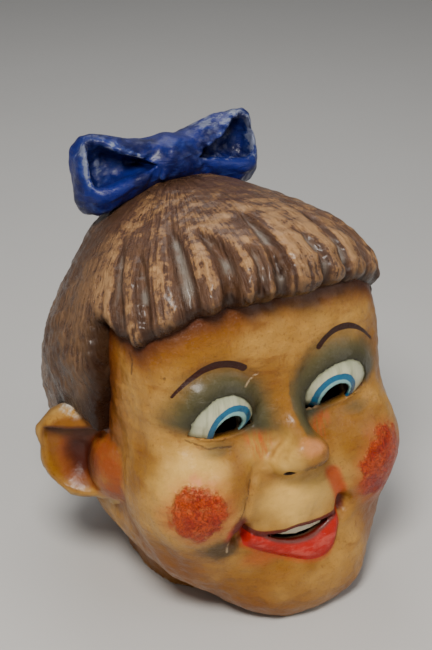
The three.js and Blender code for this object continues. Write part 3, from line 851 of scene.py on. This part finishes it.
def makeSkin():
    points, faces = netOver(skinForm, skinLook["box"], skinLook["cell"])
    piece = makeObject("painted_face_and_neck", points, faces, paintSkin())
    void = inChunks(lambda q: hollowForm(q, hairMass(q)), points)
    thinOut(piece, (void < skinLook["hidden"]) | (hairline(points) < skinLook["lap"]), skinLook["most"])
    p = pointsOf(piece)
    m = mirrored(p)
    hairFar = hairMass(p)
    dot = frontOf(skinOutside, *np.array([wear["dot"]], float).T)
    crack = np.minimum(wearFar(p, "crack"), np.linalg.norm(p - dot, axis=1) - wear["dotHalf"])
    share = mouthShare(p)
    across, half = lowerLip(p)
    beforeMouth = p[:, 1] < mouth["back"]
    beyond = np.where(beforeMouth, (np.abs(share) - 1) * mouth["half"], 20)
    lowerFar = np.maximum((np.abs(across) - 1) * half, beyond)
    over = p[:, 2] - upperHeight(share)
    upperFar = np.maximum(np.maximum(over - mouth["band"], -mouth["band"] - over), beyond)
    outer = np.abs(skinOutside(p, hairFar))
    inner = np.abs(hollowForm(p, hairFar))
    level = p[:, 2] - skinLook["lidShadeTilt"] * (np.abs(p[:, 0]) - eye["middle"])
    lidSide = smoothstep(level, *skinLook["lidShadeFrom"]) * smoothstep(p[:, 1], *skinLook["lidShadeBack"])
    edgeBack, edgeLow, edgeTop = skinLook["sideHairAt"]
    sideHair = np.where(p[:, 2] < edgeTop, np.hypot(p[:, 1] - edgeBack, np.maximum(0, edgeLow - p[:, 2])), 60)
    note(piece, **{name: np.minimum.reduce([spotFar(p, *spot) for spot in spots])
                   for name, spots in skinSpots.items()})
    note(piece, **{name: spotFar(m, *spot) for name, spot in eyeSpots.items()})
    note(piece,
         sunk=sunkIn(skinOutside, p, skinLook["sinkReach"]), almond=almond(p), lidSide=lidSide,
         brow=browField(p), underHair=np.minimum(hairline(p), 60), sideHair=sideHair,
         lowEdge=toTable(p)[:, 2], ledgeFar=earLedge(p),
         innerEar=innerEar(earPlace(p, np.sign(p[:, 0]))) + 40 * (p[:, 1] < eye["back"]),
         creaseFar=strand(m, earLook["crease"], 0), nasal=strand(p, laughLines[1][4:], 2.0, 30),
         mouthGap=np.where(beforeMouth, slotForm(p), 20),
         nostril=strand(m, nose["nostril"][:2], nose["nostril"][2]),
         pale=sum(strength * smoothstep(spotFar(p, at, stretch), start, full)
                  for at, stretch, start, full, strength in palePatches),
         lowerLip=lowerFar, upperLip=upperFar, crack=crack, scratch=wearFar(p, "scratch"),
         inside=smoothstep(outer / (outer + inner + 0.01), 0.45, 0.75))
    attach(piece, "root")
    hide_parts("papier_mache_head")
    report(piece, "skin")


# The eyeballs, pierced for the wearer to look out

eyeLook = {"cell": 1.3, "wall": 5, "lap": 7, "pupilSpare": -3, "depth": (-22, 36), "levels": (196, 284),
           "margin": 6, "cutBack": 30, "waves": ((0.15, 14, 6),), "inward": (1.5, 3.5), "blur": 0.4,
           "white": (0.60, 0.60, 0.40), "shadow": (0.26, 0.28, 0.17), "rimShade": (0.10, 0.10, 0.055),
           "ring": (0.010, 0.13, 0.25), "ringDeep": (0.005, 0.05, 0.11), "pale": (0.25, 0.50, 0.48),
           "dark": (0.004, 0.004, 0.004)}


def paintEyes():
    look = eyeLook
    paint = Paint("paintedEye", 0.3, coat=0.3)
    brush = paint.noise(60, 4, 0.6, where=paint.stretched(2.5, 1, 0.35))
    colour = paint.over(look["white"], paint.band(brush, 0.42, 0.68, 0, 0.6), look["shadow"])
    wobble = paint.wobble(paint.noise(90, 3, 0.6), 2.4)
    edge = paint.plus(paint.value("almondFar"), paint.times(wobble, 1.6))
    colour = paint.over(colour, paint.band(edge, -9, 0, 0, 0.55), look["shadow"])
    colour = paint.over(colour, paint.band(edge, -2.2, 0, 0, 0.55), look["rimShade"])
    far = paint.plus(paint.value("irisFar"), wobble)
    blur = look["blur"]
    ring, middle = (paint.band(far, size + blur, size - blur) for size in eye["irisRing"])
    colour = paint.over(colour, ring, look["ring"])
    mottled = paint.band(paint.noise(140, 3, 0.6), 0.5, 0.7, 0, 0.7)
    colour = paint.over(colour, paint.times(ring, mottled), look["ringDeep"])
    colour = paint.over(colour, middle, look["pale"])
    # painted shade: near black on the eyeball's inner wall and deep in the pupil holes
    colour = paint.over(colour, paint.value("inward"), look["dark"])
    return paint.finish(colour, None, ((brush, 0.0008),))


def eyeball(p):              # one form for both sides
    return egg(mirrored(p, eye["aside"]), **eye["ball"])


def eyeForm(p):
    look = eyeLook
    ball = eyeball(p)
    d = np.maximum(roughen(ball, p, look["waves"]), -(ball + look["wall"]))
    d = np.maximum(d, almond(p) - look["lap"])
    return np.maximum(np.maximum(d, -pupilForm(p, look["pupilSpare"])), p[:, 1] - look["cutBack"])


def makeEyes():
    material = paintEyes()
    for side, name in ((-1, "eye_right"), (1, "eye_left")):
        reach = eye["ball"]["half"][0] + eyeLook["margin"]
        middle = side * eye["ball"]["at"][0] + eye["aside"]
        box = tuple(zip((middle - reach, middle + reach), eyeLook["depth"], eyeLook["levels"]))
        points, faces = netOver(eyeForm, box, eyeLook["cell"])
        piece = makeObject(name, points, faces, material)
        p = pointsOf(piece)
        x, z = eye["irisAt"]
        note(piece, irisFar=np.hypot(np.abs(p[:, 0] - eye["aside"]) - x, p[:, 2] - z), almondFar=almond(p),
             inward=smoothstep(-eyeball(p), *eyeLook["inward"]))
        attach(piece, "root")
        report(piece, "eye")


# The strip of teeth behind the upper lip

teethLook = {"cell": 1.2, "cream": (0.72, 0.66, 0.46), "stain": (0.36, 0.27, 0.13), "half": 0.54,
             "middle": 0.08, "behind": 2.4, "thick": 1.7, "edge": 1.5, "under": 0.5, "cutBack": 30,
             "waves": ((0.12, 9, 8),), "box": ((-45, -24, 80), (40, 14, 124))}


def teethForm(p):
    look = teethLook
    share = mouthShare(p)
    off = share - mouth["teethMiddle"]
    low = mouth["teeth"] + np.where(off < 0, *mouth["teethRise"]) * off ** 2
    row = np.maximum(p[:, 2] - upperHeight(share) + look["under"], low - p[:, 2])
    depth = np.abs(headMass(p) + look["behind"] + look["thick"]) - look["thick"]
    ends = (np.abs(share - look["middle"]) - look["half"]) * mouth["half"]
    d = meet(np.maximum(row, depth), np.maximum(ends, p[:, 1] - look["cutBack"]), look["edge"])
    return roughen(d, p, look["waves"])


def makeTeeth():
    look = teethLook
    points, faces = netOver(teethForm, look["box"], look["cell"])
    paint = Paint("paintedTeeth", 0.3, coat=0.4)
    stain = paint.noise(80, 5, 0.7)
    colour = paint.over(look["cream"], paint.band(stain, 0.55, 0.8, 0, 0.7), look["stain"])
    piece = makeObject("teeth", points, faces, paint.finish(colour, None, ((stain, 0.0006),)))
    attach(piece, "root")
    report(piece, "teeth")


# The jug ears

earLook = {"at": (154, 132, 178), "turn": 40, "cell": 1.5, "middle": (-4, 6), "wide": 48.5,
           "tall": (48, 52.5), "depth": (1, 14), "square": 2.8, "roundness": 2.6, "rim": 0.88,
           "bowl": (-14, 19), "bowlPower": 1.6, "bowlBlend": 2.5, "flapAt": 31, "conchaBlend": 5,
           "concha": dict(at=(4, -7, -2), half=(17, 17, 24)),
           "ledge": dict(at=(131, 108, 168), half=(25, 36, 33)), "ledgeBlend": 9,
           "crease": ((137, 62, 196), (140, 70, 172), (139, 90, 150), (136, 118, 136)),
           # short grooves pressed into the cup: two ends, then their half widths, and how softly they are cut
           "pressed": (((7, -10, -21), (5, -12, -37), (1.5, 1.1), 2.5),
                       ((-8, -10, -25), (-10, -12, -41), (1.5, 1.1), 2.5),
                       ((37, -8, 34), (40, -7, 8), (0.9, 0.8), 1.5)),
           "waves": ((0.35, 34, 12), (0.12, 12, 13)), "sinkReach": 7, "under": 0.8, "away": 10,
           "rootBlend": 8, "across": (100, 202), "depths": (78, 196), "levels": (108, 246),
           "darkAt": (1, -2), "darkTall": 1.35, "wornAt": (0, -4, 56),
           "rimPaint": (0.50, 0.29, 0.075), "worn": (0.62, 0.57, 0.48)}
earLayers = (("rimPaint", "rim", 0.86, 0.97, 0.8, 0),
             # partly the ear's amber paint, partly painted shade in the bowl inside the rim
             ("amber", "rim", 0.84, 0.74, 0.75, 0),
             ("earOrange", "conchaFar", 10, 2, 0.6, 1),
             ("earOrange", "ledgeFar", 9, -2, 0.9, 1),
             # partly maroon paint, partly painted shade in the ear's dark hollow
             ("earDark", "innerEar", 27, 10, 0.95, 1))


def earPlace(p, side):       # into the ear's own frame, as if it were the left one
    turn = math.radians(earLook["turn"])
    q = np.column_stack((side * p[:, 0], p[:, 1], p[:, 2])) - np.array(earLook["at"])
    c, s = math.cos(turn), math.sin(turn)
    return np.column_stack((q[:, 0] * c + q[:, 1] * s, q[:, 1] * c - q[:, 0] * s, q[:, 2]))


def innerEar(q):             # from the middle of the ear's dark hollow, seen from the front
    x, z = earLook["darkAt"]
    return np.hypot(q[:, 0] - x, (q[:, 2] - z) / earLook["darkTall"])


def earLedge(p):             # the rounded rise between the cheek and the cup of the ear
    return egg(mirrored(p), **earLook["ledge"])


def byTheEar(p, d):
    return join(d, earLedge(p), earLook["ledgeBlend"])


def earOutline(q):           # 1 on the rim, seen from the front
    x = np.abs(q[:, 0] - earLook["middle"][0]) / earLook["wide"]
    z = q[:, 2] - earLook["middle"][1]
    top, low = earLook["tall"]
    square = earLook["square"]
    upper = (x ** square + (np.abs(z) / top) ** square) ** (1 / square)
    return np.where(z > 0, upper, np.hypot(x, z / low))


def earForm(q):
    look = earLook
    rim = earOutline(q)
    middle, deep = look["depth"]
    n = look["roundness"]
    d = ((rim ** n + (np.abs(q[:, 1] - middle) / deep) ** n) ** (1 / n) - 1) * deep
    front, bowl = look["bowl"]
    dish = (np.hypot((rim / look["rim"]) ** look["bowlPower"], (q[:, 1] - front) / bowl) - 1) * bowl
    d = cut(d, np.maximum(dish, q[:, 2] - look["flapAt"]), look["bowlBlend"])
    d = cut(d, egg(q, **look["concha"]), look["conchaBlend"])
    for start, end, thick, soft in look["pressed"]:
        d = cut(d, limb(q, start, end, thick), soft)
    return roughen(d, q, look["waves"])


def paintEar():
    look = {**skinLook, **earLook}       # the ears share the skin's paints
    paint = Paint("paintedEar", 0.38, coat=0.16)
    colour, streak = skinBase(paint)
    paint.edge = paint.wobble(paint.noise(45, 5, 0.7), 12)
    colour = paint.layers(colour, earLayers, look, {})
    # painted shadow under the top flap, and painted shade in the ear's hollows
    colour = paint.over(colour, paint.times(paint.value("underFlap"), 0.8), look["earDark"])
    colour = paint.over(colour, paint.band(paint.value("sunk"), 0.3, 0.9, 0, 0.8), look["earDark"])
    worn = paint.times(paint.spread("wornFar", 19, 8), paint.band(paint.noise(60, 5, 0.7), 0.38, 0.55))
    colour = paint.over(colour, worn, look["worn"])
    bumps = ((paint.noise(50, 5, 0.6), 0.0018), (paint.noise(160, 4, 0.6), 0.0004))
    return paint.finish(colour, paint.band(streak, 0.3, 0.7, 0.28, 0.48), bumps)


def makeEars():
    look = earLook
    material = paintEar()
    for side, name in ((-1, "ear_right"), (1, "ear_left")):
        def form(p):
            hairFar = hairMass(p)
            ear = earForm(earPlace(p, side))
            skin = byTheEar(p, headMass(p, hairFar)) + uneven(p) + look["under"]       # just under the skin
            d = np.maximum(join(ear, skin, look["rootBlend"]), ear - look["away"])
            return np.maximum(d, 2 - hollowForm(p, hairFar))
        across = sorted(side * x for x in look["across"])
        points, faces = netOver(form, tuple(zip(across, look["depths"], look["levels"])), look["cell"])
        piece = makeObject(name, points, faces, material)
        p = pointsOf(piece)
        q = earPlace(p, side)
        rim = earOutline(q)
        underFlap = smoothstep(q[:, 2], 15, 31) * smoothstep(q[:, 2], 36, 33) * smoothstep(rim, 0.95, 0.8)
        note(piece, sunk=sunkIn(earForm, q, look["sinkReach"]), rim=rim - 0.25 * (q[:, 1] > 4),
             conchaFar=egg(q, **look["concha"]), ledgeFar=earLedge(p), innerEar=innerEar(q),
             underFlap=underFlap, wornFar=spotFar(q, look["wornAt"]))
        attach(piece, "root")
        report(piece, "ear")


# The moulded hair

hairLook = {"box": ((-178, -62, 95), (178, 348, 425)), "cell": 2.3, "most": 195000, "sinkReach": 8,
            "hidden": 1.0, "waves": ((0.5, 34, 21), (0.22, 11, 22)), "underLap": 3, "skinBlend": 16,
            # fine lines behind the fringe: depth, how many, how far they sway and how often, where they fade
            "lineDepth": 0.5, "lines": 30, "sway": 2.2, "sways": 7, "lineFade": (70, 50), "ribFade": (50, 30),
            "streakRound": 1.6, "streakDown": 0.16,
            "nearEar": ((275, 225), (170, 115)), "fadeOut": (56, 72),
            "brown": (0.088, 0.040, 0.021), "warm": (0.165, 0.083, 0.042), "worn": (0.41, 0.225, 0.095),
            "tan": (0.29, 0.15, 0.062), "glaze": (0.25, 0.225, 0.19), "dark": (0.022, 0.007, 0.003)}


def hairVoid(p, outside, skin):
    behind = np.maximum(outside, backHair(p)) + 2 * stance["wall"]
    return np.minimum(skin, behind) + hairLook["underLap"]


def inFront(turn):           # 1 on the fringe, 0 behind its ends
    return 1 - smoothstep(np.abs(turn), *hair["frontEnds"])


def hairForm(p):
    look = hairLook
    outside = hairMass(p)
    skin = headMass(p, outside)
    deep, _, turn, up = lockRelief(p)
    front = inFront(turn)
    around = np.radians(turn)
    lines = 0.5 + 0.5 * np.sin(around * look["lines"] + look["sway"] * np.sin(around * look["sways"]))
    shallow = look["lineDepth"] * (1 - front) * smoothstep(up, *look["lineFade"]) * lines
    d = join(outside, skin - hair["thick"], look["skinBlend"]) + front * deep + shallow
    d = meet(d, hairline(p), mixed(*hair["roll"], front))
    d = np.maximum(d, -hairVoid(p, outside, skin))
    return roughen(d, p, look["waves"])


def paintHair():
    look = hairLook
    paint = Paint("paintedHair", 0.38, coat=0.22)
    along = paint.node("ShaderNodeCombineXYZ", {"X": paint.value("roundX"), "Y": paint.value("roundY"),
                                                "Z": paint.value("down")}).outputs["Vector"]
    streak = paint.noise(30, 5, 0.62, where=along)
    hairs = paint.noise(95, 3, 0.6, where=along)
    flake = paint.noise(75, 6, 0.72)
    broad = paint.noise(13, 3, 0.55)
    front = paint.value("front")
    groove = paint.value("groove")
    colour = paint.over(look["brown"], paint.band(streak, 0.36, 0.64), look["warm"])
    # the paint is rubbed through on the ridges first
    ribs = paint.plus(paint.times(paint.value("ribs"), 0.09), 0.25)
    height = paint.times(paint.math("SUBTRACT", 1.0, groove), ribs)
    rubbed = paint.plus(paint.plus(height, paint.times(flake, 0.62)),
                        paint.plus(paint.times(streak, 0.32), paint.times(broad, 0.45)))
    amount = paint.band(front, 0, 1, 0.3, 1)
    for shade, start, end in (("tan", 0.965, 0.99), ("worn", 1.03, 1.055)):
        colour = paint.over(colour, paint.times(paint.band(rubbed, start, end), amount), look[shade])
    colour = paint.over(colour, paint.band(hairs, 0.55, 0.75, 0, 0.25), look["brown"])
    # grey glaze has settled in the grooves, and painted shade darkens their flanks
    settled = paint.times(paint.band(groove, 0.5, 0.95), paint.band(paint.noise(26, 4, 0.6), 0.42, 0.6))
    colour = paint.over(colour, paint.times(settled, 0.7), look["glaze"])
    flank = paint.times(paint.band(groove, 0.2, 0.5), paint.band(groove, 0.95, 0.65))
    # painted shade in the hollows, on the lower side hair by the ear and along the hair's edge; the hair is
    # also darker away from the fringe
    edge = paint.plus(paint.value("edgeFar"), paint.wobble(flake, 20))
    darker = (paint.times(flank, 0.45), paint.band(paint.value("sunk"), 0.4, 1.0, 0, 0.9),
              paint.band(front, 0.6, 0, 0, 0.25), paint.band(paint.value("nearEar"), 0, 1, 0, 0.9),
              paint.band(edge, -25, -4, 0, 0.92))
    for factor in darker:
        colour = paint.over(colour, factor, look["dark"])
    roughness = paint.band(flake, 0.35, 0.7, 0.24, 0.52)
    return paint.finish(colour, roughness, ((streak, 0.003), (rubbed, 0.0018), (flake, 0.0008)))


def makeHair():
    look = hairLook
    points, faces = netOver(hairForm, look["box"], look["cell"])
    piece = makeObject("moulded_hair", points, faces, paintHair())

    def void(q):
        outside = hairMass(q)
        return hairVoid(q, outside, headMass(q, outside))
    thinOut(piece, inChunks(void, points) < look["hidden"], look["most"])
    p = pointsOf(piece)
    _, groove, turn, up = lockRelief(p)
    around = np.radians(turn)
    low, back = look["nearEar"]
    note(piece, ribs=smoothstep(up, *look["ribFade"]),
         nearEar=smoothstep(p[:, 2], *low) * smoothstep(p[:, 1], *back),
         groove=groove * inFront(turn), front=1 - smoothstep(np.abs(turn), *look["fadeOut"]),
         roundX=np.sin(around) * look["streakRound"], roundY=np.cos(around) * look["streakRound"],
         down=(90 - up) / 65 * look["streakDown"],
         edgeFar=np.maximum(hairline(p), -40), sunk=sunkIn(hairForm, p, look["sinkReach"]))
    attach(piece, "root")
    report(piece, "hair")


# The bow on the crown

bowLook = {"at": (-4, 188, 438), "reach": 100, "knotHalf": 18, "loopHalf": 48, "deep": 28, "droop": 3,
           "knot": dict(at=(0, -4, 2), half=(27, 31, 24)), "knotBlend": 8, "clear": 3,
           "box": ((-112, 150, 380), (106, 226, 492)), "cell": 1.7, "waves": ((0.7, 34, 31), (0.2, 13, 32)),
           "sinkReach": 9, "proudReach": 6, "chipAt": (-76, 158, 470), "chipStretch": (0.8, 1, 1.5),
           "blue": (0.006, 0.014, 0.155), "deepBlue": (0.003, 0.004, 0.040), "worn": (0.035, 0.060, 0.24),
           "scuff": (0.25, 0.28, 0.36), "chip": (0.55, 0.32, 0.17)}
# rolls, creases and raised folds: two ends, the half widths there, and how softly each runs in. Those of a
# loop are for the left one and mirrored for the other
loopRoll = ((38, -25, -9), (82, -22, -19), (5.5, 8), 7)
loopCreases = (((44, -32, -18), (88, -29, -33), (1.6, 3.2), 5), ((24, -29, 13), (34, -25, 6), (2.4, 1.6), 5),
               ((21, -31, -4), (32, -29, -14), (2.0, 1.4), 5))
# the hollow of a loop, whose places are shares of the loop's reach and of its half height
loopHollow = {"start": 0.24, "span": 0.6, "middle": 0.57, "half": 0.34, "level": 0.20, "tall": 0.66,
              "before": 3, "deep": 1.3, "size": 11, "blend": 4}
knotFolds = (((-8, -31, 12), (-20, -30, -12), (3.5, 2.5), 6), ((9, -31, 8), (22, -29, -6), (3, 2), 6))


def onSide(place, side):
    return (side * place[0], *place[1:])


def bowForm(p):
    look = bowLook
    q = p - np.array(look["at"])
    out = np.abs(q[:, 0]) / look["reach"]
    half = mixed(look["knotHalf"], look["loopHalf"], np.clip(out, 0, 1.1) ** 1.15)
    deep = look["deep"]
    y = np.abs(q[:, 1]) / deep
    level = q[:, 2] + look["droop"] * out
    z = np.abs(level) / half
    along = np.abs(out - 0.25) / 0.75
    d = ((y ** 2.6 + z ** 3 + along ** 6) ** (1 / 3) - 1) * deep * 0.8
    # the hollow of a loop: a wedge that opens outwards, under a thin top wall
    hollow = loopHollow
    wide = np.clip((out - hollow["start"]) / hollow["span"], 0.02, 1.2)
    level = (level - hollow["level"] * half * wide ** 0.3) / (hollow["tall"] * half * wide ** 0.8 + 1)
    behind = (q[:, 1] + deep + hollow["before"]) / (deep * hollow["deep"])
    aside = np.abs(out - hollow["middle"]) / hollow["half"]
    wedge = (np.abs(behind) ** 2.2 + np.abs(level) ** 2.6 + aside ** 6) ** (1 / 2.4)
    d = cut(d, (wedge - 1) * hollow["size"], hollow["blend"])
    d = join(d, egg(q, **look["knot"]), look["knotBlend"])
    for side in (-1, 1):
        # a soft roll under each hollow, a crease below it, and the folds drawn in at the knot
        start, end, thick, soft = loopRoll
        d = join(d, limb(q, onSide(start, side), onSide(end, side), thick), soft)
        for start, end, thick, soft in loopCreases:
            d = cut(d, limb(q, onSide(start, side), onSide(end, side), thick), soft)
    for start, end, thick, soft in knotFolds:
        d = join(d, limb(q, start, end, thick), soft)
    return roughen(d, q, look["waves"])


def bowSolid(p):
    return np.maximum(bowForm(p), -(hairMass(p) + bowLook["clear"]))


def makeBow():
    look = bowLook
    points, faces = netOver(bowSolid, look["box"], look["cell"])
    paint = Paint("paintedBow", 0.4, coat=0.14)
    broad = paint.noise(24, 4, 0.6)
    flake = paint.noise(80, 6, 0.72, distortion=0.5)
    brush = paint.noise(60, 4, 0.6, where=paint.stretched(1, 1, 4))
    colour = paint.over(look["blue"], paint.band(broad, 0.4, 0.62, 0, 0.8), look["deepBlue"])
    colour = paint.over(colour, paint.band(brush, 0.52, 0.7, 0, 0.5), look["worn"])
    edge = paint.plus(paint.times(paint.value("proud"), 0.55), paint.times(flake, 0.75))
    colour = paint.over(colour, paint.band(edge, 0.70, 0.84, 0, 0.6), look["worn"])
    colour = paint.over(colour, paint.band(edge, 0.82, 0.90, 0, 0.7), look["scuff"])
    # partly scuffed paint, partly painted sheen: pale blue-grey flecks on the upward-facing tops of the right
    # loop
    rubbed = paint.times(paint.value("rubbed"), paint.band(flake, 0.45, 0.6, 0.0, 0.6))
    colour = paint.over(colour, rubbed, look["scuff"])
    # painted shade: deeper blue in the hollows
    colour = paint.over(colour, paint.band(paint.value("sunk"), 0.4, 0.95, 0, 0.9), look["deepBlue"])
    chip = paint.plus(paint.value("chipFar"), paint.times(flake, 5))
    colour = paint.over(colour, paint.band(chip, 6.4, 5.6), look["chip"])
    roughness = paint.band(flake, 0.35, 0.7, 0.28, 0.55)
    material = paint.finish(colour, roughness, ((brush, 0.0012), (flake, 0.001)))
    piece = makeObject("painted_bow", points, faces, material)
    p = pointsOf(piece)
    out = wayOut(bowSolid, p)
    reach = look["proudReach"]
    note(piece, sunk=sunkIn(bowSolid, p, look["sinkReach"]),
         proud=np.clip(1 + bowSolid(p - reach * out) / reach, 0, 1),
         rubbed=smoothstep(out[:, 2], 0.55, 0.9) * smoothstep(p[:, 0], 15, 40),
         chipFar=spotFar(p, look["chipAt"], look["chipStretch"]))
    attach(piece, "root")
    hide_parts("hair_bow")
    report(piece, "bow")


makeSkin()
makeEyes()
makeTeeth()
makeEars()
makeHair()
makeBow()


# Floor, light and camera

studio = {"floor": (0.60, 0.59, 0.57), "floorWorn": (0.56, 0.55, 0.53), "floorHalf": 9.0,
          "air": (0.82, 0.83, 0.85), "airStrength": 0.24, "aim": (0, 0, 0.22),
          # name, azimuth, elevation, distance, size, watts and colour
          "lamps": (("key", -38, 52, 1.7, 0.55, 32, (1.0, 0.96, 0.90)),
                    ("fill", 42, 28, 2.0, 1.4, 8, (1, 1, 1)),
                    ("back", 160, 55, 1.9, 1.2, 10, (1, 1, 1)))}


def makeFloor():
    mesh = bpy.data.meshes.new("studio_floor")
    half = studio["floorHalf"]
    corners = [(x * half, y * half, 0) for x, y in ((-1, -1), (1, -1), (1, 1), (-1, 1))]
    mesh.from_pydata(corners, [], [(0, 1, 2, 3)])
    floor = bpy.data.objects.new("studio_floor", mesh)
    bpy.context.scene.collection.objects.link(floor)
    paint = Paint("plainFloor", 0.7)
    worn = paint.band(paint.noise(3, 3), 0.3, 0.7, 0, 0.25)
    mesh.materials.append(paint.finish(paint.over(studio["floor"], worn, studio["floorWorn"])))


def wayTo(azimuth, elevation):
    a, e = math.radians(azimuth), math.radians(elevation)
    return Vector((math.sin(a) * math.cos(e), -math.cos(a) * math.cos(e), math.sin(e)))


def softLight(name, azimuth, elevation, distance, size, watts, colour):
    way = wayTo(azimuth, elevation)
    data = bpy.data.lights.new(name, "AREA")
    data.shape = "DISK"
    data.size = size
    data.energy = watts
    data.color = colour
    lamp = bpy.data.objects.new(name, data)
    lamp.location = Vector(studio["aim"]) + way * distance
    lamp.rotation_euler = way.to_track_quat("Z", "Y").to_euler()
    bpy.context.scene.collection.objects.link(lamp)


def makeStudio():
    makeFloor()
    for lamp in studio["lamps"]:
        softLight(*lamp)
    world = bpy.data.worlds.new("pale_air")
    world.use_nodes = True
    sky = world.node_tree.nodes["Background"]
    sky.inputs["Color"].default_value = (*studio["air"], 1)
    sky.inputs["Strength"].default_value = studio["airStrength"]
    bpy.context.scene.world = world


view = {"azimuth": -30, "elevation": 28, "distance": 1.35, "aim": (0, -0.0105, 0.2516), "focalPixels": 1350,
        "picture": (432, 650), "sensorWidth": 36}


def makeCamera():
    way = wayTo(view["azimuth"], view["elevation"])
    data = bpy.data.cameras.new("photo_view")
    data.sensor_width = view["sensorWidth"]
    data.lens = view["focalPixels"] / max(view["picture"]) * data.sensor_width
    camera = bpy.data.objects.new("photo_view", data)
    camera.location = Vector(view["aim"]) + way * view["distance"]
    camera.rotation_euler = way.to_track_quat("Z", "Y").to_euler()
    bpy.context.scene.collection.objects.link(camera)
    bpy.context.scene.camera = camera


makeStudio()
makeCamera()
print("studio and camera placed")
